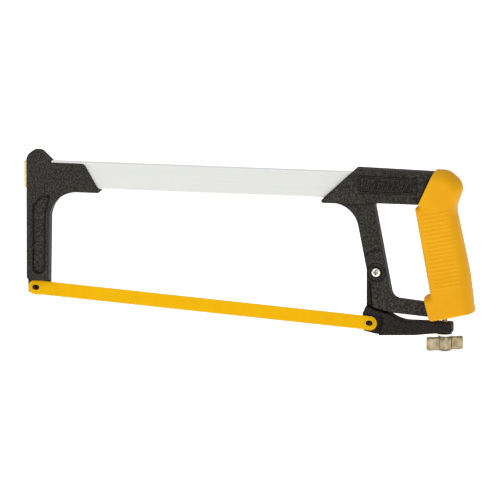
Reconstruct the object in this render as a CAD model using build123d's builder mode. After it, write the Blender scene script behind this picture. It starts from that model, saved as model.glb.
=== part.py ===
from build123d import *

import math
import os

# Hacksaw with a straight tube frame, two die-cast ends, a two-shell pistol grip and a lever
# blade tensioner worked by a wing nut.  Millimetres, +Z up, the saw upright with its cutting
# edge down, +X from the nose to the grip.
#
# Side outlines are written as (x, z, corner radius) in a drawing frame whose zero is the front
# hole of the blade.  The model's own origin is the middle of the base of the overall box.

os.makedirs("parts", exist_ok=True)

# ---- driving dimensions ----
NOSE_X = -9.4  # front of the nose plug
BACK_X = 393.7  # rearmost point of the grip
BASE_Z = -42.0  # underside of the wing nut
CENTRE_X = (NOSE_X + BACK_X) / 2

HOLE_SPACING = 300.0  # standard hacksaw blade, hole to hole
BLADE_FALL = 3.94  # degrees that the blade drops toward the grip
BLADE_LENGTH = 314.0
BLADE_WIDTH = 12.7
BLADE_THICK = 0.65
BLADE_HOLE = 4.4
BLADE_SLOT = 1.6  # straight part of each blade hole
PIN_RADIUS = 1.7
PIN_TIP_RADIUS = 1.45
PIN_STEP = 0.5  # the pin keeps its full size this far past the blade's middle
PIN_PROUD = 2.6
SEAT_Y = 0.4  # face that the blade lies against

TUBE_LOW = 90.5
TUBE_HIGH = 113.7
TUBE_HALF = 5.0
TUBE_WALL = 1.2
TUBE_GAP = 0.08

FRONT_X = -7.0
FRONT_HALF = 7.5
BLOCK_HALF = 8.0
LEG_HALF = 6.5
LOWER_LEG_HALF = 5.4
CORE_HALF = 5.0
GRIP_HALF = 14.8

PIVOT = (306.7, 25.9)
PIVOT_SHANK = 2.5
LEVER_PLATE_HALF = 2.6
FORK_HALF = 3.2
LEVER_HALF = 6.0
EYE_RADIUS = 7.2

SCREW_X = 367.0
SCREW_RADIUS = 2.5
TAIL_LOW = -26.8  # underside of the lever where the washer bears
WASHER_THICK = 2.2
WASHER_RADIUS = 6.6
HUB_RADIUS = 6.5
WING_SPAN = 16.6
WING_YAW = 27.0

ROUNDING = 1.5  # cast edge radius


# ---- drawing planes and shared shapes ----
def side_plane(y=0.0):
    """Plane of the side outlines, seen from the near side: x to the rear, y up."""
    return Plane(origin=(-CENTRE_X, y, -BASE_Z), x_dir=(1, 0, 0), z_dir=(0, -1, 0))


def cross_plane(x):
    """Plane across the saw at station x: its x is +Y and its y is up."""
    return Plane(origin=(x - CENTRE_X, 0, -BASE_Z), x_dir=(0, 1, 0), z_dir=(1, 0, 0))


def level_plane(z):
    """Horizontal plane at height z: its x is to the rear and its y is +Y."""
    return Plane(origin=(-CENTRE_X, 0, z - BASE_Z), x_dir=(1, 0, 0), z_dir=(0, 0, 1))


def slab(corners, low_y, high_y, mode=Mode.ADD):
    """Plate of a side outline between two Y values, in the part being built."""
    with BuildSketch(side_plane((low_y + high_y) / 2)) as outline:
        with BuildLine():
            points = [(x, z) for x, z, radius in corners]
            FilletPolyline(*points, radius=[radius for x, z, radius in corners], close=True)
        make_face()
    extrude(outline.sketch, amount=(high_y - low_y) / 2, both=True, mode=mode)


def rod_across(centre, radius, low_y, high_y, mode=Mode.ADD):
    """Cylinder along Y between two Y values, in the part being built."""
    with BuildSketch(side_plane((low_y + high_y) / 2)) as circle:
        with Locations(centre):
            Circle(radius)
    extrude(circle.sketch, amount=(high_y - low_y) / 2, both=True, mode=mode)


def rod_upright(x, radius, low_z, high_z, mode=Mode.ADD):
    """Cylinder along Z on the saw's centre plane, in the part being built."""
    with BuildSketch(level_plane(low_z)) as circle:
        with Locations((x, 0)):
            Circle(radius)
    extrude(circle.sketch, amount=high_z - low_z, mode=mode)


def bar_along(low_x, high_x, half_y, low_z, high_z, radius, mode=Mode.ADD):
    """Rounded rectangular bar along X, in the part being built."""
    with BuildSketch(cross_plane(low_x)) as section:
        with Locations((0, (low_z + high_z) / 2)):
            RectangleRounded(2 * half_y, high_z - low_z, radius)
    extrude(section.sketch, amount=high_x - low_x, mode=mode)


def outer_edges(part):
    """Edges of the two outermost faces across the saw."""
    faces = part.faces().filter_by(Axis.Y).sort_by(Axis.Y)
    return faces[0].edges() + faces[-1].edges()


def finish(part, name):
    """Label a finished piece and write its file."""
    part.label = name
    export_step(part, "parts/" + name + ".step")


# ---- places worked out from the driving dimensions ----
fall = math.radians(BLADE_FALL)
along_blade = (math.cos(fall), -math.sin(fall))
REAR_HOLE = (HOLE_SPACING * along_blade[0], HOLE_SPACING * along_blade[1])
pin_offset = (BLADE_SLOT + BLADE_HOLE) / 2 - PIN_RADIUS - 0.05
FRONT_PIN = (-pin_offset * along_blade[0], -pin_offset * along_blade[1])
REAR_PIN = (REAR_HOLE[0] - FRONT_PIN[0], REAR_HOLE[1] - FRONT_PIN[1])

FRONT_TUBE_PINS = [(12.0, 102.0), (34.0, 102.0)]
REAR_TUBE_PINS = [(282.0, 102.0), (298.0, 102.0)]
GRIP_SCREWS = [(361.5, 102.0), (362.5, 63.0), (371.0, 24.0)]

# The yellow grip meets the black rear casting along two slanted lines.
SLANT_LOW = (344.9, 87.5)
SLANT_HIGH = (358.1, 115.95)
BAR_END_HIGH = (351.8, -0.25)
BAR_END_LOW = (354.8, -12.2)

# ---- frame tube ----
with BuildPart() as frame_tube:
    bar_along(FRONT_X, 303.0, TUBE_HALF, TUBE_LOW, TUBE_HIGH, 1.6)
    bar_along(
        FRONT_X,
        303.0,
        TUBE_HALF - TUBE_WALL,
        TUBE_LOW + TUBE_WALL,
        TUBE_HIGH - TUBE_WALL,
        0.5,
        Mode.SUBTRACT,
    )
    for pin in FRONT_TUBE_PINS + REAR_TUBE_PINS:
        rod_across(pin, 2.0, -6, 6, Mode.SUBTRACT)
finish(frame_tube.part, "frame_tube")

# ---- front casting: nose post, sleeve round the tube and the blade tab ----
POST_OUTLINE = [
    (FRONT_X, -5.2, 3.0),
    (FRONT_X, 122.8, 8.0),
    (5.0, 122.8, 5.5),
    (15.6, 112.9, 2.5),
    (44.6, 112.8, 4.5),
    (56.2, 92.6, 3.0),
    (60.4, 87.2, 1.7),
    (13.9, 87.2, 25.0),
    (12.6, -5.2, 3.0),
]
NEAR_SIDE_CUT = [
    (-20, -20, 0),
    (-20, 10.6, 0),
    (-7.6, 10.6, 0),
    (-4.6, 7.2, 1.0),
    (20, 7.6, 0),
    (20, -20, 0),
]
LEAF_RECESS = [
    (-1.9, 13.2, 5.9),
    (10.0, 13.2, 5.9),
    (10.5, 66.0, 20.0),
    (14.8, 84.2, 1.6),
    (6.6, 84.0, 8.0),
    (-1.6, 74.5, 8.0),
]
LEAF_DEPTH = 1.8
LEAF_DRAFT = 30.0  # degrees that its walls slope
with BuildPart() as front_casting:
    slab(POST_OUTLINE, -FRONT_HALF, FRONT_HALF)
    fillet(outer_edges(front_casting.part), ROUNDING)
    bar_along(
        FRONT_X - 1,
        70,
        TUBE_HALF + TUBE_GAP,
        TUBE_LOW - TUBE_GAP,
        TUBE_HIGH + TUBE_GAP,
        1.6,
        Mode.SUBTRACT,
    )
    slab(NEAR_SIDE_CUT, -20, SEAT_Y, Mode.SUBTRACT)
    with BuildSketch(side_plane(FRONT_HALF)) as leaf:
        with BuildLine():
            points = [(x, z) for x, z, radius in LEAF_RECESS]
            FilletPolyline(*points, radius=[radius for x, z, radius in LEAF_RECESS], close=True)
        make_face()
    far_leaf = extrude(leaf.sketch, amount=LEAF_DEPTH, taper=LEAF_DRAFT, mode=Mode.SUBTRACT)
    mirror(far_leaf, about=Plane.XZ, mode=Mode.SUBTRACT)
    rod_across(FRONT_PIN, PIN_RADIUS, -20, 5.5, Mode.SUBTRACT)
    for pin in FRONT_TUBE_PINS:
        rod_across(pin, 2.0, -6, 20, Mode.SUBTRACT)
finish(front_casting.part, "front_casting")

# ---- nose plug that closes the tube ----
PLUG_HALF = 6.0
with BuildPart() as nose_plug:
    bar_along(NOSE_X, FRONT_X, PLUG_HALF, 89.6, 113.6, 1.8)
    chamfer(nose_plug.faces().sort_by(Axis.X)[0].edges(), 0.6)
    bar_along(
        FRONT_X,
        2.0,
        TUBE_HALF - TUBE_WALL - 0.05,
        TUBE_LOW + TUBE_WALL + 0.05,
        TUBE_HIGH - TUBE_WALL - 0.05,
        0.5,
    )
finish(nose_plug.part, "nose_plug")

# ---- rear casting: block, forked leg, bottom bar and the core inside the grip ----
BLOCK_OUTLINE = [
    (254.9, 86.1, 1.8),
    (288.1, 117.4, 2.5),
    (*SLANT_HIGH, 0),
    (*SLANT_LOW, 0),
    (300.0, 87.5, 0),
    (297.0, 86.1, 0),
]
LEG_OUTLINE = [
    (266.0, 96.0, 0),
    (266.0, 86.1, 0),
    (286.6, 86.1, 24.0),
    (298.1, 27.9, 0),
    (298.3, 18.6, 0),
    (301.6, 16.4, 2.0),
    (303.4, -5.4, 2.0),
    (321.3, -9.6, 8.0),
    (*BAR_END_LOW, 0),
    (*BAR_END_HIGH, 0),
    (320.4, 2.95, 8.0),
    (304.2, 87.5, 3.5),
    (330.0, 87.5, 0),
    (330.0, 96.0, 0),
]
CORE_OUTLINE = [
    (338.0, 111.5, 0),
    (338.0, 91.5, 0),
    (348.0, 91.5, 3.0),
    (361.6, -1.3, 3.0),
    (345.0, -1.3, 0),
    (345.0, -9.3, 0),
    (366.0, -9.6, 0),
    (388.6, -4.6, 3.0),
    (385.0, 30.0, 40.0),
    (374.0, 84.0, 20.0),
    (378.4, 104.0, 6.0),
    (371.0, 111.5, 6.0),
]
CHEVRON = [
    (290.0, 37.7, 0),
    (306.0, 46.5, 0),
    (325.0, 44.4, 0),
    (360.0, 44.4, 0),
    (360.0, -20.0, 0),
    (290.0, -20.0, 0),
]
FORK_SLOT = [
    (290.0, 30.0, 0),
    (299.0, 37.0, 6.0),
    (311.5, 37.0, 6.0),
    (315.0, 22.0, 0),
    (319.6, -12.0, 0),
    (319.6, -20.0, 0),
    (290.0, -20.0, 0),
]
PANEL = [
    (291.4, 96.4, 2.0),
    (291.4, 111.8, 2.0),
    (343.4, 110.6, 2.0),
    (343.4, 96.8, 2.0),
]
PANEL_FLOOR = [
    (292.6, 97.6, 1.0),
    (292.6, 110.6, 1.0),
    (342.2, 109.4, 1.0),
    (342.2, 98.0, 1.0),
]
PANEL_RIB_COUNT = 11
PANEL_RIB_PITCH = 4.2
PANEL_RIB_WIDTH = 1.7
PANEL_RIB_LEAN = 2.6
PANEL_RIB_LOW = 99.6
PANEL_RIB_HIGH = 107.6
FIRST_RIB_X = 294.6
ANCHOR_X = (SCREW_X - 4.6, SCREW_X + 4.6)
ANCHOR_Z = (2.0, 8.0)
WINDOW = [
    (ANCHOR_X[0], ANCHOR_Z[0], 0),
    (ANCHOR_X[0], 13.0, 2.0),
    (ANCHOR_X[1], 13.0, 2.0),
    (ANCHOR_X[1], ANCHOR_Z[0], 0),
]
PANEL_PROUD = 0.5
PIVOT_FACE = 4.7
PIVOT_RECESS_RADIUS = 8.3
with BuildPart() as leg:
    slab(LEG_OUTLINE, -LEG_HALF, LEG_HALF)
    fillet(outer_edges(leg.part), ROUNDING)
    slab(CHEVRON, -20, -LOWER_LEG_HALF, Mode.SUBTRACT)
    slab(CHEVRON, LOWER_LEG_HALF, 20, Mode.SUBTRACT)

with BuildPart() as rear_casting:
    slab(BLOCK_OUTLINE, -BLOCK_HALF, BLOCK_HALF)
    fillet(outer_edges(rear_casting.part), ROUNDING)
    slab(PANEL, -BLOCK_HALF - PANEL_PROUD, BLOCK_HALF + PANEL_PROUD)
    slab(PANEL_FLOOR, -20, -BLOCK_HALF, Mode.SUBTRACT)
    slab(PANEL_FLOOR, BLOCK_HALF, 20, Mode.SUBTRACT)
    for rib in range(PANEL_RIB_COUNT):
        rib_x = FIRST_RIB_X + rib * PANEL_RIB_PITCH
        rib_outline = [
            (rib_x, PANEL_RIB_LOW, 0.5),
            (rib_x + PANEL_RIB_LEAN, PANEL_RIB_HIGH, 0.5),
            (rib_x + PANEL_RIB_LEAN + PANEL_RIB_WIDTH, PANEL_RIB_HIGH, 0.5),
            (rib_x + PANEL_RIB_WIDTH, PANEL_RIB_LOW, 0.5),
        ]
        slab(rib_outline, -BLOCK_HALF - PANEL_PROUD, BLOCK_HALF + PANEL_PROUD)
    add(leg.part)
    slab(CORE_OUTLINE, -CORE_HALF, CORE_HALF)
    bar_along(
        250.0,
        303.0 + TUBE_GAP,
        TUBE_HALF + TUBE_GAP,
        TUBE_LOW - TUBE_GAP,
        TUBE_HIGH + TUBE_GAP,
        1.6,
        Mode.SUBTRACT,
    )
    slab(FORK_SLOT, -FORK_HALF, FORK_HALF, Mode.SUBTRACT)
    rod_across(PIVOT, PIVOT_RECESS_RADIUS, -20, -PIVOT_FACE, Mode.SUBTRACT)
    rod_across(PIVOT, PIVOT_RECESS_RADIUS, PIVOT_FACE, 20, Mode.SUBTRACT)
    rod_across(PIVOT, PIVOT_SHANK, -20, 20, Mode.SUBTRACT)
    for pin in REAR_TUBE_PINS:
        rod_across(pin, 2.0, -6.4, 20, Mode.SUBTRACT)
    for screw in GRIP_SCREWS:
        rod_across(screw, 2.0, -20, 20, Mode.SUBTRACT)
    slab(WINDOW, -20, 20, Mode.SUBTRACT)
    rod_upright(SCREW_X, SCREW_RADIUS, -20, ANCHOR_Z[0] + 1, Mode.SUBTRACT)
finish(rear_casting.part, "rear_casting")

# ---- drive pins that lock the tube in both castings, fitted from the far side ----
with BuildPart() as front_tube_pins:
    for pin in FRONT_TUBE_PINS:
        rod_across(pin, 2.0, -6, FRONT_HALF - 0.4)
finish(front_tube_pins.part, "front_tube_pins")

with BuildPart() as rear_tube_pins:
    for pin in REAR_TUBE_PINS:
        rod_across(pin, 2.0, -6.4, BLOCK_HALF - 0.2)
finish(rear_tube_pins.part, "rear_tube_pins")

# ---- grip: two moulded shells screwed together over the core ----
GRIP_OUTLINE = [
    (344.6, 86.8, 0),
    (359.2, 118.3, 0),
    (370.2, 118.3, 14.0),
    (381.5, 108.8, 14.0),
    (382.9, 101.0, 10.5),
    (377.1, 84.9, 19.0),
    (389.4, 28.0, 150.0),
    (BACK_X, -6.6, 0),
    (372.0, -11.8, 20.0),
    (358.0, -14.6, 0),
    (355.2, -13.6, 0),
    (350.2, 6.2, 0),
    (355.3, 7.3, 0),
    (341.3, 84.2, 0),
]
CORE_GAP = 0.1
POCKET_OUTLINE = [
    (330.0, 111.6, 0),
    (330.0, 91.4, 0),
    (347.8, 91.4, 3.0),
    (361.4, -1.2, 3.0),
    (340.0, -1.2, 0),
    (340.0, -9.4, 0),
    (366.0, -9.7, 0),
    (388.7, -4.7, 3.0),
    (385.1, 30.0, 40.0),
    (374.1, 84.0, 20.0),
    (378.5, 104.0, 6.0),
    (371.0, 111.6, 6.0),
]
SHELL_ROUNDING = 8.0
BOSS_DEPTH = 11.0
HEAD_SEAT = 11.5


def palm_edges(face):
    """The long edges of a shell's outer face: its back, and its front between the ends."""
    chosen = []
    for edge in face.edges():
        middle = edge @ 0.5
        x = middle.X + CENTRE_X
        z = middle.Z + BASE_Z
        is_back = x > 362 and z > -5
        is_front = 345 < x < 350 and 30 < z < 60
        if is_back or is_front:
            chosen.append(edge)
    return chosen


with BuildPart() as grip_near_shell:
    slab(GRIP_OUTLINE, -GRIP_HALF, 0)
    fillet(palm_edges(grip_near_shell.faces().sort_by(Axis.Y)[0]), SHELL_ROUNDING)
    slab(POCKET_OUTLINE, -CORE_HALF - CORE_GAP, 1, Mode.SUBTRACT)
    rod_upright(SCREW_X, SCREW_RADIUS + 0.5, -20, 10, Mode.SUBTRACT)
    for screw in GRIP_SCREWS:
        rod_across(screw, 1.75, -BOSS_DEPTH, 1, Mode.SUBTRACT)
finish(grip_near_shell.part, "grip_near_shell")

with BuildPart() as grip_far_shell:
    slab(GRIP_OUTLINE, 0, GRIP_HALF)
    fillet(palm_edges(grip_far_shell.faces().sort_by(Axis.Y)[-1]), SHELL_ROUNDING)
    slab(POCKET_OUTLINE, -1, CORE_HALF + CORE_GAP, Mode.SUBTRACT)
    rod_upright(SCREW_X, SCREW_RADIUS + 0.5, -20, 10, Mode.SUBTRACT)
    for screw in GRIP_SCREWS:
        rod_across(screw, 1.75, -1, HEAD_SEAT, Mode.SUBTRACT)
        rod_across(screw, 3.6, HEAD_SEAT, 20, Mode.SUBTRACT)
finish(grip_far_shell.part, "grip_far_shell")

with BuildPart() as grip_screws:
    for screw in GRIP_SCREWS:
        rod_across(screw, 1.75, -BOSS_DEPTH, HEAD_SEAT)
        rod_across(screw, 3.4, HEAD_SEAT, GRIP_HALF - 0.6)
    for screw in GRIP_SCREWS:
        with BuildSketch(side_plane(GRIP_HALF - 0.6)) as cross:
            with Locations(screw):
                Rectangle(4.2, 0.9)
                Rectangle(0.9, 4.2)
        extrude(cross.sketch, amount=1.4, mode=Mode.SUBTRACT)
finish(grip_screws.part, "grip_screws")

# ---- tension screw and the captive anchor it is threaded into ----
SCREW_HEAD_RADIUS = 4.2
SCREW_LOW = BASE_Z + 1.6
with BuildPart() as screw_anchor:
    anchor = [
        (ANCHOR_X[0], ANCHOR_Z[0], 0),
        (ANCHOR_X[0], ANCHOR_Z[1], 0),
        (ANCHOR_X[1], ANCHOR_Z[1], 0),
        (ANCHOR_X[1], ANCHOR_Z[0], 0),
    ]
    slab(anchor, -CORE_HALF, CORE_HALF)
    rod_upright(SCREW_X, SCREW_RADIUS, ANCHOR_Z[0] - 1, ANCHOR_Z[1] + 1, Mode.SUBTRACT)
finish(screw_anchor.part, "screw_anchor")

with BuildPart() as tension_screw:
    rod_upright(SCREW_X, SCREW_RADIUS, SCREW_LOW, ANCHOR_Z[1])
    rod_upright(SCREW_X, SCREW_HEAD_RADIUS, ANCHOR_Z[1], ANCHOR_Z[1] + 3.5)
    chamfer(tension_screw.faces().sort_by(Axis.Z)[0].edges(), 0.5)
finish(tension_screw.part, "tension_screw")

# ---- pivot of the lever: screw, nut and thin washers ----
PIVOT_HEAD_RADIUS = 4.1
PIVOT_HEAD_THICK = 3.2
PIVOT_NUT_THICK = 3.0
with BuildPart() as pivot_screw:
    rod_across(PIVOT, PIVOT_SHANK, -PIVOT_FACE, PIVOT_FACE + PIVOT_NUT_THICK + 0.8)
    rod_across(PIVOT, PIVOT_HEAD_RADIUS, -PIVOT_FACE - PIVOT_HEAD_THICK, -PIVOT_FACE)
    fillet(pivot_screw.faces().sort_by(Axis.Y)[0].edges(), 1.4)
    with BuildSketch(side_plane(-PIVOT_FACE - PIVOT_HEAD_THICK)) as cross:
        with Locations(PIVOT):
            Rectangle(3.4, 0.9)
            Rectangle(0.9, 3.4)
    extrude(cross.sketch, amount=-1.6, mode=Mode.SUBTRACT)
finish(pivot_screw.part, "pivot_screw")

with BuildPart() as pivot_nut:
    with BuildSketch(side_plane(PIVOT_FACE)) as hexagon:
        with Locations(PIVOT):
            RegularPolygon(4.6, 6)
            Circle(PIVOT_SHANK, mode=Mode.SUBTRACT)
    extrude(hexagon.sketch, amount=-PIVOT_NUT_THICK)
finish(pivot_nut.part, "pivot_nut")

with BuildPart() as pivot_washers:
    for low_y, high_y in ((-FORK_HALF, -LEVER_PLATE_HALF - 0.05), (LEVER_PLATE_HALF + 0.05, FORK_HALF)):
        rod_across(PIVOT, 6.2, low_y, high_y)
    rod_across(PIVOT, PIVOT_SHANK, -20, 20, Mode.SUBTRACT)
finish(pivot_washers.part, "pivot_washers")

# ---- tension lever: eye in the fork, blade seat below it, slotted tail under the grip ----
LEVER_PLATE = [
    (297.6, 28.0, 0),
    (297.5, -12.0, 0),
    (317.6, -12.0, 0),
    (313.6, 20.0, 0),
    (308.0, 28.0, 0),
]
LEVER_BODY = [
    (297.6, -3.6, 1.5),
    (292.6, -15.0, 2.0),
    (294.0, -27.4, 1.5),
    (307.0, -30.3, 30.0),
    (341.0, -28.9, 30.0),
    (358.5, TAIL_LOW, 0),
    (374.1, TAIL_LOW, 2.5),
    (374.0, -16.6, 2.0),
    (329.2, -16.6, 30.0),
    (318.5, -10.8, 3.0),
    (304.5, -7.4, 1.0),
]
SEAT_CUT = [
    (280.0, -11.6, 0),
    (298.0, -11.6, 0),
    (312.8, -13.4, 1.5),
    (312.4, -21.0, 3.0),
    (309.0, -30.0, 0),
    (308.0, -36.0, 0),
    (280.0, -36.0, 0),
]
TAIL_SLIDE = 2.6  # room for the tail to swing past the screw
with BuildPart() as tension_lever:
    slab(LEVER_BODY, -LEVER_HALF, LEVER_HALF)
    fillet(outer_edges(tension_lever.part), 1.2)
    slab(LEVER_PLATE, -LEVER_PLATE_HALF, LEVER_PLATE_HALF)
    rod_across(PIVOT, EYE_RADIUS, -LEVER_PLATE_HALF, LEVER_PLATE_HALF)
    rod_across(PIVOT, PIVOT_SHANK + 0.06, -20, 20, Mode.SUBTRACT)
    slab(SEAT_CUT, -20, SEAT_Y, Mode.SUBTRACT)
    rod_across(REAR_PIN, PIN_RADIUS, -20, 4.8, Mode.SUBTRACT)
    with BuildSketch(level_plane(-35)) as slot:
        with Locations((SCREW_X + TAIL_SLIDE / 2, 0)):
            SlotCenterToCenter(TAIL_SLIDE, 2 * SCREW_RADIUS + 0.6)
    extrude(slot.sketch, amount=30, mode=Mode.SUBTRACT)
finish(tension_lever.part, "tension_lever")

# ---- blade pins, pressed into the nose tab and into the lever ----
with BuildPart() as front_blade_pin:
    rod_across(FRONT_PIN, PIN_RADIUS, -PIN_STEP, 5.5)
    rod_across(FRONT_PIN, PIN_TIP_RADIUS, -PIN_PROUD, -PIN_STEP)
    chamfer(front_blade_pin.faces().sort_by(Axis.Y)[0].edges(), 0.25)
finish(front_blade_pin.part, "front_blade_pin")

with BuildPart() as rear_blade_pin:
    rod_across(REAR_PIN, PIN_RADIUS, -PIN_STEP, 4.8)
    rod_across(REAR_PIN, PIN_TIP_RADIUS, -PIN_PROUD, -PIN_STEP)
    chamfer(rear_blade_pin.faces().sort_by(Axis.Y)[0].edges(), 0.25)
finish(rear_blade_pin.part, "rear_blade_pin")

# ---- blade, drawn along its own length and tilted with the fall ----
TOOTH_PITCH = 25.4 / 18
TOOTH_DEPTH = 0.8
blade_plane = Plane(
    origin=(-CENTRE_X, 0, -BASE_Z),
    x_dir=(along_blade[0], 0, along_blade[1]),
    z_dir=(0, -1, 0),
)
TOOTHED_LENGTH = HOLE_SPACING - 8
tooth_count = int(TOOTHED_LENGTH / TOOTH_PITCH)
teeth_start = (HOLE_SPACING - tooth_count * TOOTH_PITCH) / 2
with BuildPart() as blade:
    with BuildSketch(blade_plane):
        with Locations((HOLE_SPACING / 2, 0)):
            SlotOverall(BLADE_LENGTH, BLADE_WIDTH)
        with Locations((0, 0), (HOLE_SPACING, 0)):
            SlotCenterToCenter(BLADE_SLOT, BLADE_HOLE, mode=Mode.SUBTRACT)
        with BuildLine():
            gullets = []
            for tooth in range(tooth_count):
                start = teeth_start + tooth * TOOTH_PITCH
                gullets.append((start, -BLADE_WIDTH / 2))
                gullets.append((start + 0.25 * TOOTH_PITCH, TOOTH_DEPTH - BLADE_WIDTH / 2))
            gullets.append((teeth_start + tooth_count * TOOTH_PITCH, -BLADE_WIDTH / 2))
            gullets.append((teeth_start + tooth_count * TOOTH_PITCH, -BLADE_WIDTH))
            gullets.append((teeth_start, -BLADE_WIDTH))
            Polyline(*gullets, close=True)
        make_face(mode=Mode.SUBTRACT)
    extrude(amount=BLADE_THICK / 2, both=True)
finish(blade.part, "blade")

# ---- thrust washer and wing nut on the tension screw ----
WASHER_TOP = TAIL_LOW - 0.05
HUB_TOP = WASHER_TOP - WASHER_THICK
with BuildPart() as thrust_washer:
    rod_upright(SCREW_X, WASHER_RADIUS, HUB_TOP, WASHER_TOP)
    rod_upright(SCREW_X, SCREW_RADIUS + 0.08, HUB_TOP - 1, WASHER_TOP + 1, Mode.SUBTRACT)
    chamfer(thrust_washer.edges().filter_by(GeomType.CIRCLE).group_by(SortBy.RADIUS)[-1], 0.3)
finish(thrust_washer.part, "thrust_washer")

WING_TOP = HUB_TOP - 1.0
WING_LOW = BASE_Z + 0.8
WING_NECK = 4.2
WING_TIP = 3.4
nut_plane = Plane(
    origin=(SCREW_X - CENTRE_X, 0, WING_LOW - BASE_Z),
    x_dir=(math.cos(math.radians(WING_YAW)), math.sin(math.radians(WING_YAW)), 0),
    z_dir=(0, 0, 1),
)
with BuildPart() as wing_nut:
    with BuildSketch(nut_plane):
        for side in (-1, 1):
            with BuildLine():
                Polyline(
                    (0, WING_NECK),
                    (side * 9.0, WING_NECK / 2),
                    (side * (WING_SPAN - WING_TIP), WING_TIP),
                    (side * (WING_SPAN - WING_TIP), -WING_TIP),
                    (side * 9.0, -WING_NECK / 2),
                    (0, -WING_NECK),
                    close=True,
                )
            make_face()
            with Locations((side * (WING_SPAN - WING_TIP), 0)):
                Circle(WING_TIP)
    extrude(amount=WING_TOP - WING_LOW)
    rod_upright(SCREW_X, HUB_RADIUS, BASE_Z, HUB_TOP)
    fillet(wing_nut.faces().sort_by(Axis.Z)[0].edges(), 0.7)
    rod_upright(SCREW_X, SCREW_RADIUS + 0.06, BASE_Z - 1, HUB_TOP + 1, Mode.SUBTRACT)
finish(wing_nut.part, "wing_nut")
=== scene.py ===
import math

import bmesh
import bpy
import numpy as np
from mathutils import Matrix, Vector


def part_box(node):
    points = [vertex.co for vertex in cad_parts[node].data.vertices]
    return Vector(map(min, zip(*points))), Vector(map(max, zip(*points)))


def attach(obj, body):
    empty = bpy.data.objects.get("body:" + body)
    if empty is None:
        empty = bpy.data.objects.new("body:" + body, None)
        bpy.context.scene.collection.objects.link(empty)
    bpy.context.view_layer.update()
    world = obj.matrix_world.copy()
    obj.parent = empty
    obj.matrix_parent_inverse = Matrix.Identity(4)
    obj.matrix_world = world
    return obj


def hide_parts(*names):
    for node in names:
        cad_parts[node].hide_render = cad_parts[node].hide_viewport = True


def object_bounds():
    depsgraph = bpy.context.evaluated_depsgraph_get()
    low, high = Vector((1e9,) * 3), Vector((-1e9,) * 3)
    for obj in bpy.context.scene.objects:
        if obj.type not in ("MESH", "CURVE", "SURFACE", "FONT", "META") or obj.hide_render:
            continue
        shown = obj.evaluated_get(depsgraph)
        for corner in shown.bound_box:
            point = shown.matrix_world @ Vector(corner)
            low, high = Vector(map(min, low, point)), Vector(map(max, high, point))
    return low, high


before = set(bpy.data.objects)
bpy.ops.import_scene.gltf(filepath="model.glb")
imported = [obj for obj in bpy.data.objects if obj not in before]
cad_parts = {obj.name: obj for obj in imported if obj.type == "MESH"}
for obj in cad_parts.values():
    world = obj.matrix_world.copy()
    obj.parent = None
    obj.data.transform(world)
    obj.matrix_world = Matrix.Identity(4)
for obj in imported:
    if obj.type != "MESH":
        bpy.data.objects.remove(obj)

CAD_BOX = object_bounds()

# Drawing frame of the side outlines, as in the CAD source: millimetres, zero at the blade's front
# hole, x to the rear and z up.  The nose plug's front is NOSE_X and the nut's underside BASE_Z.
NOSE_X = -9.4
BASE_Z = -42.0
MM = 0.001
ORIGIN_X = CAD_BOX[0].x - NOSE_X * MM
ORIGIN_Z = CAD_BOX[0].z - BASE_Z * MM

HOLE_SPACING = 300.0
BLADE_FALL = math.radians(3.94)
BLADE_LENGTH = 314.0
BLADE_WIDTH = 12.7
BLADE_THICK = 0.65
BLADE_HOLE = 4.4
BLADE_SLOT = 1.6
PIVOT = (306.7, 25.9)
GRIP_SCREWS = [(361.5, 102.0), (362.5, 63.0), (371.0, 24.0)]
SCREW_X = 367.0
SCREW_RADIUS = 2.5
SCREW_PITCH = 0.8
GRIP_HALF = 14.8


def metres(points):
    """Drawing-frame points (x, y, z) in millimetres to the row frame in metres."""
    points = np.asarray(points, float).reshape(-1, 3)
    return points * MM + np.array((ORIGIN_X, 0.0, ORIGIN_Z))


def drawing_heights(node):
    """Lowest and highest z of a CAD node, in drawing-frame millimetres."""
    low, high = (point.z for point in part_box(node))
    return (low - ORIGIN_Z) / MM, (high - ORIGIN_Z) / MM


# ------------------------------------------------------------------ camera, floor and light
CAMERA_AZIMUTH = math.radians(12.0)
CAMERA_RISE = math.radians(10.3)
# The other views set the far clip to 100 radii of the object, and this lens has to stay inside it.
CAMERA_DISTANCE = 19.0
FRAME_WIDTH = 0.4387
SENSOR = 36.0
LOOK_AT = metres([(192.5, 0.0, 40.55)])[0]
FLOOR_HALF = 12.0
FLOOR_GAP = 0.0005


def make_camera():
    back = Vector(
        (
            math.sin(CAMERA_AZIMUTH) * math.cos(CAMERA_RISE),
            -math.cos(CAMERA_AZIMUTH) * math.cos(CAMERA_RISE),
            math.sin(CAMERA_RISE),
        )
    )
    data = bpy.data.cameras.new("camera")
    data.sensor_width = SENSOR
    data.lens = SENSOR * CAMERA_DISTANCE / FRAME_WIDTH
    data.clip_start = 1.0
    data.clip_end = 100.0
    camera = bpy.data.objects.new("camera", data)
    camera.location = Vector(LOOK_AT) + back * CAMERA_DISTANCE
    camera.rotation_euler = (-back).to_track_quat("-Z", "Y").to_euler()
    bpy.context.scene.collection.objects.link(camera)
    bpy.context.scene.camera = camera


def area_light(name, place, size, power):
    data = bpy.data.lights.new(name, "AREA")
    data.shape = "RECTANGLE"
    data.size, data.size_y = size
    data.energy = power
    light = bpy.data.objects.new(name, data)
    light.location = place
    light.rotation_euler = (Vector(LOOK_AT) - Vector(place)).to_track_quat("-Z", "Y").to_euler()
    bpy.context.scene.collection.objects.link(light)


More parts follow.
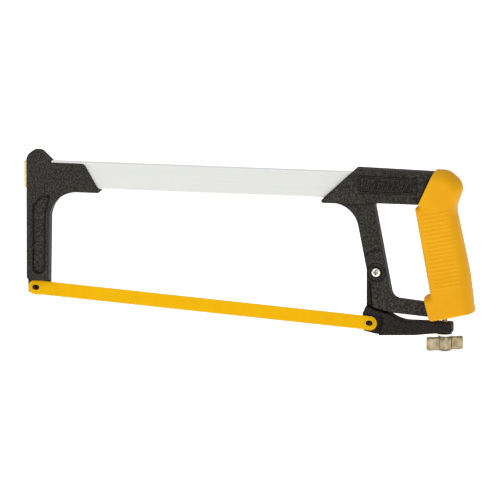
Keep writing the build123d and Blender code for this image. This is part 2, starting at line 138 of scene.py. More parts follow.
def make_stage():
    world = bpy.data.worlds.new("studio")
    world.use_nodes = True
    world.node_tree.nodes["Background"].inputs["Color"].default_value = (1.0, 1.0, 1.0, 1.0)
    world.node_tree.nodes["Background"].inputs["Strength"].default_value = 0.5
    bpy.context.scene.world = world
    bpy.context.scene.view_settings.view_transform = "Standard"
    area_light("key", (-1.1, -1.6, 1.1), (1.2, 1.0), 7.5)
    area_light("fill", (1.3, -1.6, 0.5), (1.2, 1.2), 3.4)
    area_light("top", (-0.1, 0.1, 1.8), (2.0, 1.4), 5.5)
    mesh = bpy.data.meshes.new("floor")
    half = FLOOR_HALF
    level = CAD_BOX[0].z - FLOOR_GAP
    mesh.from_pydata(
        [(-half, -half, level), (half, -half, level), (half, half, level), (-half, half, level)],
        [],
        [(0, 1, 2, 3)],
    )
    floor = bpy.data.objects.new("floor", mesh)
    bpy.context.scene.collection.objects.link(floor)
    mesh.materials.append(floor_material())


# ------------------------------------------------------------------ materials
def new_material(name):
    material = bpy.data.materials.new(name)
    material.use_nodes = True
    tree = material.node_tree
    return material, tree, tree.nodes["Principled BSDF"]


def add_node(tree, kind, **settings):
    node = tree.nodes.new(kind)
    for key, value in settings.items():
        setattr(node, key, value)
    return node


def noise_node(tree, scale, detail=3.0, roughness=0.55, stretch=None):
    """Noise in object coordinates; stretch scales each axis for grain along a direction."""
    coords = add_node(tree, "ShaderNodeTexCoord")
    texture = add_node(tree, "ShaderNodeTexNoise")
    texture.inputs["Scale"].default_value = scale
    texture.inputs["Detail"].default_value = detail
    texture.inputs["Roughness"].default_value = roughness
    if stretch is None:
        tree.links.new(coords.outputs["Object"], texture.inputs["Vector"])
    else:
        mapping = add_node(tree, "ShaderNodeMapping")
        mapping.inputs["Scale"].default_value = stretch
        tree.links.new(coords.outputs["Object"], mapping.inputs["Vector"])
        tree.links.new(mapping.outputs["Vector"], texture.inputs["Vector"])
    return texture


def ramp_between(tree, factor, low, high, start=0.35, end=0.65):
    """Blend from colour low to colour high as the factor goes from start to end."""
    ramp = add_node(tree, "ShaderNodeValToRGB")
    ramp.color_ramp.elements[0].position = start
    ramp.color_ramp.elements[0].color = (*low, 1.0)
    ramp.color_ramp.elements[1].position = end
    ramp.color_ramp.elements[1].color = (*high, 1.0)
    tree.links.new(factor, ramp.inputs["Fac"])
    return ramp.outputs["Color"]


def spread_roughness(tree, shader, factor, low, high):
    spread = add_node(tree, "ShaderNodeMapRange")
    spread.inputs["From Min"].default_value = 0.3
    spread.inputs["From Max"].default_value = 0.7
    spread.inputs["To Min"].default_value = low
    spread.inputs["To Max"].default_value = high
    tree.links.new(factor, spread.inputs["Value"])
    tree.links.new(spread.outputs["Result"], shader.inputs["Roughness"])


def add_bump(tree, shader, height, strength, distance):
    bump = add_node(tree, "ShaderNodeBump")
    bump.inputs["Strength"].default_value = strength
    bump.inputs["Distance"].default_value = distance
    tree.links.new(height, bump.inputs["Height"])
    tree.links.new(bump.outputs["Normal"], shader.inputs["Normal"])


def edge_mask(tree, radius):
    """1 on sharp or rounded edges and 0 on flat areas, from a softened normal."""
    bevel = add_node(tree, "ShaderNodeBevel", samples=6)
    bevel.inputs["Radius"].default_value = radius
    geometry = add_node(tree, "ShaderNodeNewGeometry")
    dot = add_node(tree, "ShaderNodeVectorMath", operation="DOT_PRODUCT")
    tree.links.new(bevel.outputs["Normal"], dot.inputs[0])
    tree.links.new(geometry.outputs["Normal"], dot.inputs[1])
    mask = add_node(tree, "ShaderNodeMapRange")
    mask.inputs["From Min"].default_value = 0.995
    mask.inputs["From Max"].default_value = 0.86
    tree.links.new(dot.outputs["Value"], mask.inputs["Value"])
    return mask.outputs["Result"]


def crevice_shade_mask(tree, distance, open_share=0.85, deep_share=0.35):
    """1 deep in corners and recesses and 0 on open surfaces, from ambient occlusion: the mask for painted
    shade.
    """
    occlusion = add_node(tree, "ShaderNodeAmbientOcclusion", samples=8)
    occlusion.inputs["Distance"].default_value = distance
    mask = add_node(tree, "ShaderNodeMapRange")
    mask.inputs["From Min"].default_value = open_share
    mask.inputs["From Max"].default_value = deep_share
    tree.links.new(occlusion.outputs["AO"], mask.inputs["Value"])
    return mask.outputs["Result"]


def mixed(tree, factor, first, second):
    """Colour mix of two sockets or plain colours."""
    mix = add_node(tree, "ShaderNodeMix", data_type="RGBA")
    tree.links.new(factor, mix.inputs["Factor"])
    for socket, value in ((mix.inputs["A"], first), (mix.inputs["B"], second)):
        if isinstance(value, tuple):
            socket.default_value = (*value, 1.0)
        else:
            tree.links.new(value, socket)
    return mix.outputs["Result"]


def thinner(tree, factor, share):
    """A factor weakened to a share of itself."""
    product = add_node(tree, "ShaderNodeMath", operation="MULTIPLY")
    tree.links.new(factor, product.inputs[0])
    product.inputs[1].default_value = share
    return product.outputs["Value"]


def floor_material():
    material, tree, shader = new_material("pale_floor")
    grain = noise_node(tree, 3.0)
    colour = ramp_between(tree, grain.outputs["Fac"], (0.93, 0.93, 0.93), (0.95, 0.95, 0.95))
    tree.links.new(colour, shader.inputs["Base Color"])
    shader.inputs["Roughness"].default_value = 0.9
    shader.inputs["Specular IOR Level"].default_value = 0.1
    shader.inputs["Emission Color"].default_value = (1.0, 1.0, 1.0, 1.0)
    shader.inputs["Emission Strength"].default_value = 0.72
    return material


def casting_material(name, low, high):
    """Black crinkle powder coat on a die casting: pale specks on its grain, painted shade in its corners and
    a painted dark outline on its edges.
    """
    material, tree, shader = new_material(name)
    specks = noise_node(tree, 820.0, 2.0, 0.55)
    fine = noise_node(tree, 2600.0, 2.0, 0.6)
    broad = noise_node(tree, 45.0, 3.0)
    body = ramp_between(tree, specks.outputs["Fac"], low, high, 0.4, 0.72)
    patchy = mixed(tree, thinner(tree, broad.outputs["Fac"], 0.3), body, low)
    # Painted shade: corners and recesses go near-black.
    shaded = mixed(tree, crevice_shade_mask(tree, 0.003, 0.97, 0.62), patchy, (0.002, 0.002, 0.001))
    # Painted shade: edges go near-black as a dark outline.
    edge_wear_and_painted_light = mixed(tree, edge_mask(tree, 0.0010), shaded, (0.003, 0.003, 0.002))
    tree.links.new(edge_wear_and_painted_light, shader.inputs["Base Color"])
    shader.inputs["Specular IOR Level"].default_value = 0.1
    spread_roughness(tree, shader, specks.outputs["Fac"], 0.5, 0.68)
    height = add_node(tree, "ShaderNodeMath", operation="MULTIPLY_ADD")
    tree.links.new(fine.outputs["Fac"], height.inputs[0])
    height.inputs[1].default_value = 0.3
    tree.links.new(specks.outputs["Fac"], height.inputs[2])
    add_bump(tree, shader, height.outputs["Value"], 0.7, 0.0004)
    return material


def tube_material():
    """Satin plated steel with fine lengthwise drawing marks, a painted highlight on its upward faces and
    painted shade on its edges.
    """
    material, tree, shader = new_material("satin_plated_steel")
    grain = noise_node(tree, 500.0, 4.0, 0.6, stretch=(0.02, 1.0, 1.0))
    cloud = noise_node(tree, 22.0, 2.0)
    streaks = ramp_between(tree, grain.outputs["Fac"], (0.66, 0.67, 0.635), (0.72, 0.73, 0.695))
    colour = mixed(tree, cloud.outputs["Fac"], streaks, (0.69, 0.70, 0.665))
    # Painted highlight: faces turned upward go white.
    geometry = add_node(tree, "ShaderNodeNewGeometry")
    upward = add_node(tree, "ShaderNodeSeparateXYZ")
    tree.links.new(geometry.outputs["Normal"], upward.inputs["Vector"])
    painted_top_highlight = mixed(tree, upward.outputs["Z"], colour, (1.0, 1.0, 1.0))
    # Painted shade: edges go near-black as a dark outline.
    painted_edge_shade = mixed(tree, edge_mask(tree, 0.0005), painted_top_highlight, (0.06, 0.06, 0.055))
    tree.links.new(painted_edge_shade, shader.inputs["Base Color"])
    shader.inputs["Metallic"].default_value = 0.15
    spread_roughness(tree, shader, grain.outputs["Fac"], 0.34, 0.5)
    add_bump(tree, shader, grain.outputs["Fac"], 0.12, 0.0001)
    return material


def grip_material():
    """Orange-yellow moulded plastic with a fine spark-eroded grain, painted shade in its creases and a
    painted highlight on its edges.
    """
    material, tree, shader = new_material("yellow_moulded_plastic")
    grain = noise_node(tree, 2600.0, 2.0, 0.6)
    cloud = noise_node(tree, 35.0, 3.0)
    colour = ramp_between(tree, cloud.outputs["Fac"], (0.755, 0.350, 0.001), (0.795, 0.380, 0.001))
    # Painted shade: creases between the ribs and corners go a deeper orange.
    shaded = mixed(tree, crevice_shade_mask(tree, 0.0015), colour, (0.60, 0.23, 0.002))
    # Painted highlight: edges go a paler yellow.
    edge_wear_and_painted_light = mixed(tree, edge_mask(tree, 0.0005), shaded, (0.82, 0.45, 0.02))
    tree.links.new(edge_wear_and_painted_light, shader.inputs["Base Color"])
    shader.inputs["Specular IOR Level"].default_value = 0.15
    spread_roughness(tree, shader, grain.outputs["Fac"], 0.42, 0.56)
    add_bump(tree, shader, grain.outputs["Fac"], 0.16, 0.00012)
    return material


def blade_material():
    """Yellow paint on spring steel, thinner and browner along the edges."""
    material, tree, shader = new_material("yellow_blade_paint")
    cloud = noise_node(tree, 90.0, 3.0)
    colour = ramp_between(tree, cloud.outputs["Fac"], (0.80, 0.425, 0.001), (0.83, 0.450, 0.001))
    edge_wear_and_painted_light = mixed(tree, edge_mask(tree, 0.00025), colour, (0.34, 0.19, 0.012))
    tree.links.new(edge_wear_and_painted_light, shader.inputs["Base Color"])
    shader.inputs["Specular IOR Level"].default_value = 0.05
    spread_roughness(tree, shader, cloud.outputs["Fac"], 0.34, 0.46)
    grain = noise_node(tree, 1500.0, 2.0)
    add_bump(tree, shader, grain.outputs["Fac"], 0.06, 0.0001)
    return material


def plated_material(name, low, high, corner, rough_low, rough_high, bump=0.05, scale=700.0):
    """Plated or bare metal: cloudy tone, brighter edges from wear and painted shade in its corners."""
    material, tree, shader = new_material(name)
    cloud = noise_node(tree, scale, 3.0)
    colour = ramp_between(tree, cloud.outputs["Fac"], low, high)
    # Painted shade: corners and recesses take the dark corner colour.
    shaded = mixed(tree, crevice_shade_mask(tree, 0.003), colour, corner)
    edge_wear_and_painted_light = mixed(tree, edge_mask(tree, 0.0003), shaded, high)
    tree.links.new(edge_wear_and_painted_light, shader.inputs["Base Color"])
    shader.inputs["Metallic"].default_value = 1.0
    spread_roughness(tree, shader, cloud.outputs["Fac"], rough_low, rough_high)
    add_bump(tree, shader, cloud.outputs["Fac"], bump, 0.00015)
    return material


def plug_material():
    """Pale yellow moulded plastic."""
    material, tree, shader = new_material("pale_plug_plastic")
    cloud = noise_node(tree, 120.0, 3.0)
    colour = ramp_between(tree, cloud.outputs["Fac"], (0.80, 0.66, 0.36), (0.85, 0.72, 0.42))
    tree.links.new(colour, shader.inputs["Base Color"])
    spread_roughness(tree, shader, cloud.outputs["Fac"], 0.4, 0.55)
    grain = noise_node(tree, 2600.0, 2.0)
    add_bump(tree, shader, grain.outputs["Fac"], 0.15, 0.0001)
    return material


# ------------------------------------------------------------------ mesh helpers
def make_piece(name, vertices, faces, material, body, replaced=(), smooth_angle=35.0):
    """A new mesh piece from drawing-frame millimetres, riding on a body."""
    mesh = bpy.data.meshes.new(name)
    mesh.from_pydata([tuple(point) for point in metres(vertices)], [], faces)
    mesh.validate()
    work = bmesh.new()
    work.from_mesh(mesh)
    bmesh.ops.remove_doubles(work, verts=work.verts, dist=0.000002)
    bmesh.ops.dissolve_degenerate(work, edges=work.edges, dist=0.000001)
    bmesh.ops.recalc_face_normals(work, faces=work.faces)
    work.to_mesh(mesh)
    work.free()
    piece = bpy.data.objects.new(name, mesh)
    bpy.context.scene.collection.objects.link(piece)
    mesh.materials.append(material)
    mesh.shade_smooth()
    mesh.set_sharp_from_angle(angle=math.radians(smooth_angle))
    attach(piece, body)
    if replaced:
        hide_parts(*replaced)
    return piece


def rings_to_faces(rings, count):
    """Quads between successive closed rings of count points each."""
    faces = []
    for ring in range(rings - 1):
        for step in range(count):
            after = (step + 1) % count
            faces.append(
                (
                    ring * count + step,
                    ring * count + after,
                    (ring + 1) * count + after,
                    (ring + 1) * count + step,
                )
            )
    return faces


def end_caps(total, count):
    """Faces over the first and the last ring of count points, out of total points."""
    return [tuple(range(count)), tuple(range(total - count, total))]


def rounded_path(corners, step=0.6):
    """Points of an open side outline with rounded corners, given as (x, z, radius)."""
    path = []
    total = len(corners)
    for index, (x, z, radius) in enumerate(corners):
        here = np.array((x, z), float)
        if radius == 0 or index in (0, total - 1):
            path.append(here)
            continue
        before = np.array(corners[index - 1][:2], float) - here
        after = np.array(corners[index + 1][:2], float) - here
        before /= np.linalg.norm(before)
        after /= np.linalg.norm(after)
        half_angle = math.acos(float(np.clip(before @ after, -1, 1))) / 2
        reach = radius / math.tan(half_angle)
        centre = here + (before + after) / np.linalg.norm(before + after) * radius / math.sin(half_angle)
        start, end = here + before * reach - centre, here + after * reach - centre
        turn = math.pi - 2 * half_angle
        pieces = max(3, int(radius * turn / step))
        for k in range(pieces + 1):
            share = k / pieces
            weight_start = math.sin((1 - share) * turn) / math.sin(turn)
            weight_end = math.sin(share * turn) / math.sin(turn)
            path.append(centre + start * weight_start + end * weight_end)
    return np.array(path)


def resample(path, count):
    """count points evenly spaced along a polyline, ends kept."""
    lengths = np.concatenate(([0], np.cumsum(np.linalg.norm(np.diff(path, axis=0), axis=1))))
    wanted = np.linspace(0, lengths[-1], count)
    return np.stack([np.interp(wanted, lengths, path[:, axis]) for axis in (0, 1)], axis=1)


def distance_to(path, points):
    """Distance of each point from a polyline, in the side plane."""
    best = np.full(len(points), 1e9)
    for start, end in zip(path[:-1], path[1:]):
        along = end - start
        share = np.clip(((points - start) @ along) / (along @ along + 1e-12), 0, 1)
        best = np.minimum(best, np.linalg.norm(points - start - share[:, None] * along, axis=1))
    return best


# ------------------------------------------------------------------ grip shells
GRIP_BACK_X = 393.7
SLANT = [(359.2, 118.3, 0), (344.6, 86.8, 0)]
GRIP_TOP_BACK = [
    (359.2, 118.3, 0),
    (370.2, 118.3, 14.0),
    (381.5, 108.8, 14.0),
    (382.9, 101.0, 10.5),
    (377.1, 84.9, 19.0),
    (389.4, 28.0, 150.0),
    (GRIP_BACK_X, -6.6, 0),
]
GRIP_BOTTOM = [(GRIP_BACK_X, -6.6, 0), (372.0, -11.8, 20.0), (358.0, -14.6, 0)]
GRIP_FRONT = [(344.6, 86.8, 0), (341.3, 84.2, 1.5), (355.3, 7.3, 0.8), (350.2, 6.2, 0)]
GRIP_HEEL = [(350.2, 6.2, 0), (355.2, -13.6, 1.0), (358.0, -14.6, 0)]
GRIP_LEAN = math.radians(10.8)
RIB_COUNT = 19
RIB_PITCH = 3.62
RIB_RISE = math.radians(12.0)
RIB_HEIGHT = 0.42
RIB_TOP = (359.0, 80.5)
RIB_REACH_FRONT = 13.0
RIB_REACH_BACK = 16.0
RIB_FADE = 5.0
GRIP_ROWS = 440
GRIP_COLUMNS = 44
GRIP_EDGE_COLUMNS = 16
# Half-groove at the parting line: its outer edge, its floor and its depth.
GROOVE_EDGE = 0.38
PARTING_GAP = 0.03
GROOVE_DEPTH = 0.35


def edge_drop(distance, reach, depth):
    """How far a surface falls near an edge that is rounded over a reach, down to a depth."""
    inside = np.clip((reach - distance) / reach, 0, 1)
    return depth * (1 - np.sqrt(np.maximum(1 - inside * inside, 0)))


def eased(share):
    """Smooth step of a share, held between 0 and 1."""
    share = np.clip(share, 0, 1)
    return share * share * (3 - 2 * share)


def rib_height(points):
    """Fine sloping ribs on the side of the grip, fading out at both ends of each rib."""
    down = np.array((math.sin(GRIP_LEAN), -math.cos(GRIP_LEAN)))
    normal = np.array((math.sin(RIB_RISE), -math.cos(RIB_RISE)))
    offset = points - np.array(RIB_TOP)
    pitches = (offset @ normal) / RIB_PITCH
    index = np.round(pitches)
    phase = pitches - index
    crest = np.where(phase < 0, 1 + phase * 2.0, 1 - phase * 3.4)
    centre_line = np.outer(offset @ down, down) + np.array(RIB_TOP)
    sideways = (points - centre_line)[:, 0]
    fade = eased((sideways + RIB_REACH_FRONT) / RIB_FADE) * eased((RIB_REACH_BACK - sideways) / RIB_FADE)
    inside = (index >= 0) & (index < RIB_COUNT)
    return np.where(inside, RIB_HEIGHT * eased(crest) * fade, 0.0)


def make_grip(side, name, node, material):
    """One moulded shell as a fine height field over the grip's side outline."""
    front_path = np.concatenate(
        [
            rounded_path(SLANT),
            rounded_path(GRIP_FRONT)[1:],
            rounded_path(GRIP_HEEL)[1:],
        ]
    )
    back_path = np.concatenate([rounded_path(GRIP_TOP_BACK), rounded_path(GRIP_BOTTOM)[1:]])
    rows, inner_columns = GRIP_ROWS, GRIP_COLUMNS
    front = resample(front_path, rows)
    back = resample(back_path, rows)
    near_edge = 1 - np.cos(np.linspace(0, math.pi / 2, GRIP_EDGE_COLUMNS))
    columns = len(near_edge) * 2 + inner_columns
    grid = np.zeros((rows, columns, 2))
    for row in range(rows):
        width = np.linalg.norm(back[row] - front[row])
        reach = min(9.5, width * 0.36)
        left = near_edge * reach / max(width, 1e-6)
        right = 1 - left[::-1]
        middle = np.linspace(left[-1], right[0], inner_columns + 2)[1:-1]
        shares = np.concatenate([left, middle, right])
        grid[row] = front[row] + np.outer(shares, back[row] - front[row])
    points = grid.reshape(-1, 2)
    flat = GRIP_HALF - RIB_HEIGHT
    drops = np.stack(
        [
            edge_drop(distance_to(rounded_path(SLANT), points), 1.3, 1.1),
            edge_drop(distance_to(rounded_path(GRIP_FRONT), points), 6.0, 10.0),
            edge_drop(distance_to(rounded_path(GRIP_HEEL), points), 1.8, 1.8),
            edge_drop(distance_to(rounded_path(GRIP_TOP_BACK), points), 8.5, 12.4),
            edge_drop(distance_to(rounded_path(GRIP_BOTTOM), points), 2.4, 2.4),
        ]
    )
    height = flat - drops.max(axis=0) + rib_height(points)
    # The outline walls run from the height field's rim down to a small groove at the parting line.
    total = rows * columns
    outer = np.column_stack([points[:, 0], side * height, points[:, 1]])
    faces = []
    for row in range(rows - 1):
        for column in range(columns - 1):
            a = row * columns + column
            faces.append((a, a + 1, a + 1 + columns, a + columns))
    rim = (
        [row * columns for row in range(rows)]
        + [(rows - 1) * columns + column for column in range(1, columns)]
        + [row * columns + columns - 1 for row in range(rows - 2, -1, -1)]
        + [column for column in range(columns - 2, 0, -1)]
    )
    centre = points.mean(axis=0)
    rim_points = points[rim]
    rim_height = height[rim]
    count = len(rim)
    inward = (centre - rim_points) / np.linalg.norm(centre - rim_points, axis=1)[:, None]
    walls = (
        (rim_height * 0.5, 0.0),
        (np.full(count, GROOVE_EDGE), 0.0),
        (np.full(count, PARTING_GAP), GROOVE_DEPTH),
    )
    layers = []
    for y, depth in walls:
        spot = rim_points + inward * depth
        layers.append(np.column_stack([spot[:, 0], side * y, spot[:, 1]]))
    vertices = np.concatenate([outer] + layers)
    previous = list(rim)
    for layer in range(len(layers)):
        current = list(range(total + layer * count, total + (layer + 1) * count))
        for step in range(count):
            after = (step + 1) % count
            faces.append((previous[step], previous[after], current[after], current[step]))
        previous = current
    faces.append(tuple(previous))
    return make_piece(name, vertices, faces, material, "frame", (node,), 40.0)


# ------------------------------------------------------------------ blade
TEETH_PER_INCH = 18
TOOTH_DEPTH = 0.8
TOOTH_SET = 0.12
TEETH_PER_WAVE = 8
GULLET = 0.22
BACK_POINT = (0.5, 0.62)
TOOTHLESS_LENGTH = 8.0
END_STEPS = 24
HOLE_STEPS = 48


def blade_point(along, across):
    """Drawing-frame x and z of a point given along the blade and across its width."""
    x = along * math.cos(BLADE_FALL) + across * math.sin(BLADE_FALL)
    z = -along * math.sin(BLADE_FALL) + across * math.cos(BLADE_FALL)
    return x, z


def make_blade(material):
    """Blade with round ends, slotted pin holes and wavy-set teeth on its lower edge."""
    half_width, half_thick = BLADE_WIDTH / 2, BLADE_THICK / 2
    end = (BLADE_LENGTH - HOLE_SPACING - BLADE_WIDTH) / 2
    pitch = 25.4 / TEETH_PER_INCH
    teeth = int((HOLE_SPACING - TOOTHLESS_LENGTH) / pitch)
    first = (HOLE_SPACING - teeth * pitch) / 2
    outline = []
    for k in range(END_STEPS + 1):
        angle = math.pi / 2 + math.pi * k / END_STEPS
        outline.append((half_width * math.cos(angle) - end, half_width * math.sin(angle), 0.0))
    for tooth in range(teeth):
        start = first + tooth * pitch
        wave = TOOTH_SET * math.sin(2 * math.pi * tooth / TEETH_PER_WAVE)
        outline.append((start, -half_width, wave))
        outline.append((start + GULLET * pitch, TOOTH_DEPTH - half_width, 0.0))
        along, rise = BACK_POINT
        outline.append((start + along * pitch, rise * TOOTH_DEPTH - half_width, 0.0))
    outline.append((first + teeth * pitch, -half_width, 0.0))
    for k in range(END_STEPS + 1):
        angle = -math.pi / 2 + math.pi * k / END_STEPS
        along = HOLE_SPACING + end + half_width * math.cos(angle)
        outline.append((along, half_width * math.sin(angle), 0.0))
    holes = []
    for centre in (0.0, HOLE_SPACING):
        ring = []
        for k in range(HOLE_STEPS):
            angle = 2 * math.pi * k / HOLE_STEPS
            shift = BLADE_SLOT / 2 * (1 if math.cos(angle) > 0 else -1)
            ring.append(
                (
                    centre + shift + BLADE_HOLE / 2 * math.cos(angle),
                    BLADE_HOLE / 2 * math.sin(angle),
                    0.0,
                )
            )
        holes.append(ring)
    work = bmesh.new()
    edges = []
    for loop in [outline] + holes:
        made = []
        for along, across, lean in loop:
            x, z = blade_point(along, across)
            made.append(work.verts.new(metres([(x, lean - half_thick, z)])[0]))
        for first_vert, next_vert in zip(made, made[1:] + made[:1]):
            edges.append(work.edges.new((first_vert, next_vert)))
    bmesh.ops.triangle_fill(work, edges=edges, use_beauty=True)
    grown = bmesh.ops.extrude_face_region(work, geom=list(work.faces))
    moved = [item for item in grown["geom"] if isinstance(item, bmesh.types.BMVert)]
    bmesh.ops.translate(work, verts=moved, vec=(0, BLADE_THICK * MM, 0))
    bmesh.ops.recalc_face_normals(work, faces=work.faces)
    mesh = bpy.data.meshes.new("blade_painted")
    work.to_mesh(mesh)
    work.free()
    piece = bpy.data.objects.new("blade_painted", mesh)
    bpy.context.scene.collection.objects.link(piece)
    mesh.materials.append(material)
    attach(piece, "blade")
    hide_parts("blade")


# ------------------------------------------------------------------ threaded screw, nut, screw heads
THREAD_DEPTH = 0.42
SCREW_HEAD_HEIGHT = 3.5
WING_YAW = math.radians(27.0)
WING_SOFTNESS = 1.1
PIVOT_HEAD = dict(face_y=-4.7, direction=-1, radius=4.1, thick=3.2, shank=2.5, shank_end=8.5)
GRIP_HEAD = dict(face_y=11.5, direction=1, radius=3.4, thick=2.7, shank=1.75, shank_end=-11.0)


def turned_ring(radius, y_or_z, count, axis, centre):
    """Ring of points round an axis: "y" across the saw or "z" upright."""
    ring = []
    for k in range(count):
        angle = 2 * math.pi * k / count
        if axis == "z":
            ring.append((centre[0] + radius * math.cos(angle), radius * math.sin(angle), y_or_z))
        else:
            ring.append((centre[0] + radius * math.cos(angle), y_or_z, centre[1] + radius * math.sin(angle)))
    return ring


def make_tension_screw(material):
    """Screw with a real helical thread below its round head."""
    low_z, high_z = drawing_heights("tension_screw")
    neck_z = high_z - SCREW_HEAD_HEIGHT
    count = 40
    rings = []
    steps = int((neck_z - low_z) / (SCREW_PITCH / 8))
    for step in range(steps + 1):
        z = low_z + (neck_z - low_z) * step / steps
        ring = []
        for k in range(count):
            angle = 2 * math.pi * k / count
            phase = (z / SCREW_PITCH - k / count) % 1.0
            crest = min(1.0, 2.4 * abs(phase - 0.5))
            taper = min(1.0, (z - low_z + 0.25) / 1.0)
            radius = (SCREW_RADIUS - THREAD_DEPTH * (1 - crest)) * (0.84 + 0.16 * taper)
            ring.append((SCREW_X + radius * math.cos(angle), radius * math.sin(angle), z))
        rings.append(ring)
    for radius, z in ((3.9, neck_z), (4.2, neck_z + 0.3), (4.2, high_z - 0.5), (3.8, high_z)):
        rings.append(turned_ring(radius, z, count, "z", (SCREW_X, 0)))
    vertices = [point for ring in rings for point in ring]
    faces = rings_to_faces(len(rings), count)
    faces += end_caps(len(vertices), count)
    make_piece(
        "tension_screw_threaded", vertices, faces, material, "frame", ("tension_screw",)
    )


def wing_outline():
    """Plan of the wing nut's wings in its own frame: waisted, with thick round ends."""
    span, tip, neck, hub, middle = 16.6, 3.4, 2.2, 5.0, 9.0
    quarter = []
    for k in range(13):
        angle = math.pi / 2 * k / 12
        quarter.append((span - tip + tip * math.cos(angle), tip * math.sin(angle)))
    for k in range(1, 13):
        share = k / 12
        x = (span - tip) * (1 - share)
        if x >= middle:
            y = neck + (tip - neck) * float(eased((x - middle) / (span - tip - middle)))
        else:
            y = neck + (hub - neck) * float(eased((middle - x) / middle))
        quarter.append((x, y))
    half = quarter + [(-x, y) for x, y in reversed(quarter[:-1])]
    return half + [(x, -y) for x, y in reversed(half[1:-1])]


def inset(outline, amount):
    """Outline moved inward along its own normals."""
    points = np.array(outline)
    tangent = np.roll(points, -1, axis=0) - np.roll(points, 1, axis=0)
    tangent /= np.linalg.norm(tangent, axis=1)[:, None]
    return points + np.column_stack([-tangent[:, 1], tangent[:, 0]]) * amount


def make_wing_nut(material):
    """Cast wing nut: round hub with a domed foot, and two waisted wings with softened rims."""
    low_z, high_z = drawing_heights("wing_nut")
    wing_low, wing_high = low_z + 0.8, high_z - 1.0
    outline = wing_outline()
    count = len(outline)
    rings = []
    soft = WING_SOFTNESS
    for k in range(6):
        angle = math.pi / 2 * k / 5
        rings.append((soft * (1 - math.sin(angle)), wing_low + soft * (1 - math.cos(angle))))
    for k in range(5, -1, -1):
        angle = math.pi / 2 * k / 5
        rings.append((soft * (1 - math.sin(angle)), wing_high - soft * (1 - math.cos(angle))))
    vertices = []
    for amount, z in rings:
        for x, y in inset(outline, amount):
            vertices.append(
                (
                    SCREW_X + x * math.cos(WING_YAW) - y * math.sin(WING_YAW),
                    x * math.sin(WING_YAW) + y * math.cos(WING_YAW),
                    z,
                )
            )
    faces = rings_to_faces(len(rings), count)
    faces += end_caps(len(vertices), count)
    make_piece("wing_nut_wings", vertices, faces, material, "wing_nut", (), 50.0)

    bore = SCREW_RADIUS + 0.06
    profile = [
        (bore, low_z + 0.5),
        (bore + 0.5, low_z + 0.05),
        (4.3, low_z),
        (5.4, low_z + 0.45),
        (6.1, low_z + 1.3),
        (6.45, low_z + 2.6),
        (6.5, low_z + 5.0),
        (6.5, high_z - 1.6),
        (6.35, high_z - 1.1),
        (5.9, high_z - 0.9),
        (5.8, high_z - 0.25),
        (5.55, high_z),
        (bore + 0.5, high_z),
        (bore, high_z - 0.5),
    ]
    count = 64
    vertices = [
        point for radius, z in profile for point in turned_ring(radius, z, count, "z", (SCREW_X, 0))
    ]
    faces = rings_to_faces(len(profile), count)
    last = (len(profile) - 1) * count
    for step in range(count):
        after = (step + 1) % count
        faces.append((last + step, last + after, after, step))
    make_piece("wing_nut_hub", vertices, faces, material, "wing_nut", ("wing_nut",))


def cross_head(centre, face_y, direction, radius, thick, shank, shank_end):
    """Vertices and faces of a domed screw with a cross recess; its head faces along direction."""
    count, steps = 72, 22
    arm, half_width, deep = 0.56 * radius, 0.15 * radius, 0.55 * thick
    vertices = [(centre[0], face_y + direction * (thick - deep), centre[1])]
    for step in range(1, steps + 1):
        share = step / steps
        for k in range(count):
            angle = 2 * math.pi * k / count
            u, v = radius * share * math.cos(angle), radius * share * math.sin(angle)
            dome = thick * (0.42 + 0.58 * math.sqrt(max(1 - share**2.6, 0)))
            narrow, wide = min(abs(u), abs(v)), max(abs(u), abs(v))
            cut = float(eased((half_width * 1.25 - narrow) / (half_width * 0.5)))
            cut *= float(eased((arm - wide) / (0.4 * arm)))
            rise = dome - deep * cut
            vertices.append((centre[0] + u, face_y + direction * rise, centre[1] + v))
    for ring_radius, y in ((radius, face_y), (shank, face_y), (shank, shank_end)):
        vertices += turned_ring(ring_radius, y, count, "y", centre)
    faces = [(0, 1 + k, 1 + (k + 1) % count) for k in range(count)]
    for face in rings_to_faces(steps + 3, count):
        faces.append(tuple(index + 1 for index in face))
    faces.append(tuple(range(len(vertices) - count, len(vertices))))
    return vertices, faces


def make_heads(name, centres, sizes, material, node):
    """One piece of equal cross-head screws; sizes are the values that cross_head takes by name."""
    vertices, faces = [], []
    for centre in centres:
        more_vertices, more_faces = cross_head(centre, **sizes)
        faces += [tuple(index + len(vertices) for index in face) for face in more_faces]
        vertices += more_vertices
    make_piece(name, vertices, faces, material, "frame", (node,), 32.0)


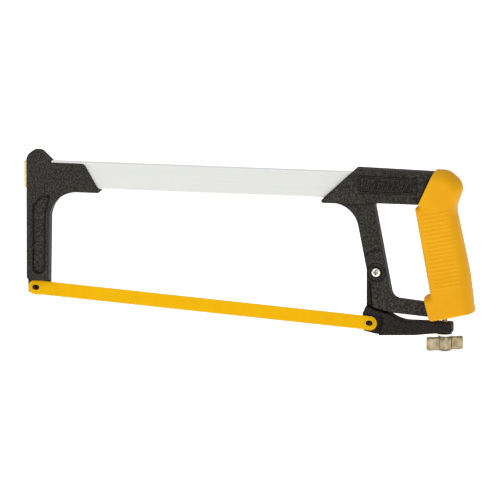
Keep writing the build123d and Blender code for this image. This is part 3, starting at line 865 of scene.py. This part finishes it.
# ------------------------------------------------------------------ build
def paint_node(name, material, bevel_width=0.0):
    """Give a CAD node its finished material, with a soft edge where it has none."""
    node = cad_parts[name]
    for index in range(len(node.data.materials)):
        node.data.materials[index] = material
    if not len(node.data.materials):
        node.data.materials.append(material)
    if bevel_width:
        bevel = node.modifiers.new("soft_edges", "BEVEL")
        bevel.width = bevel_width
        bevel.segments = 2
        bevel.limit_method = "ANGLE"
        bevel.angle_limit = math.radians(35)
        bevel.harden_normals = False


make_camera()
make_stage()
black = casting_material("black_powder_coat", (0.013, 0.0118, 0.0095), (0.086, 0.079, 0.067))
lever_black = casting_material("lever_powder_coat", (0.006, 0.0052, 0.0040), (0.052, 0.047, 0.039))
silver = tube_material()
yellow = grip_material()
blade_paint = blade_material()
# The third colour given to each plated material is its painted corner shade.
nickel = plated_material(
    "bright_nickel", (0.80, 0.77, 0.70), (0.90, 0.87, 0.80), (0.05, 0.045, 0.035), 0.14, 0.26
)
wing_metal = plated_material(
    "cast_nickel", (0.25, 0.20, 0.115), (0.48, 0.41, 0.27), (0.012, 0.007, 0.003), 0.12, 0.26, 0.4, 150.0
)
dark = plated_material(
    "dark_steel", (0.030, 0.016, 0.010), (0.060, 0.036, 0.025), (0.01, 0.005, 0.003), 0.45, 0.6
)
pale = plug_material()

for node_name in ("front_casting", "rear_casting"):
    paint_node(node_name, black)
paint_node("tension_lever", lever_black)
paint_node("frame_tube", silver)
paint_node("nose_plug", pale)
for node_name in ("thrust_washer", "pivot_nut", "pivot_washers"):
    paint_node(node_name, nickel, 0.0002)
for node_name in ("front_tube_pins", "rear_tube_pins", "screw_anchor", "front_blade_pin", "rear_blade_pin"):
    paint_node(node_name, dark)

make_grip(-1, "grip_near_moulding", "grip_near_shell", yellow)
make_grip(1, "grip_far_moulding", "grip_far_shell", yellow)
make_blade(blade_paint)
make_tension_screw(nickel)
make_wing_nut(wing_metal)
make_heads("pivot_screw_head", [PIVOT], PIVOT_HEAD, nickel, "pivot_screw")
make_heads("grip_screw_heads", GRIP_SCREWS, GRIP_HEAD, nickel, "grip_screws")
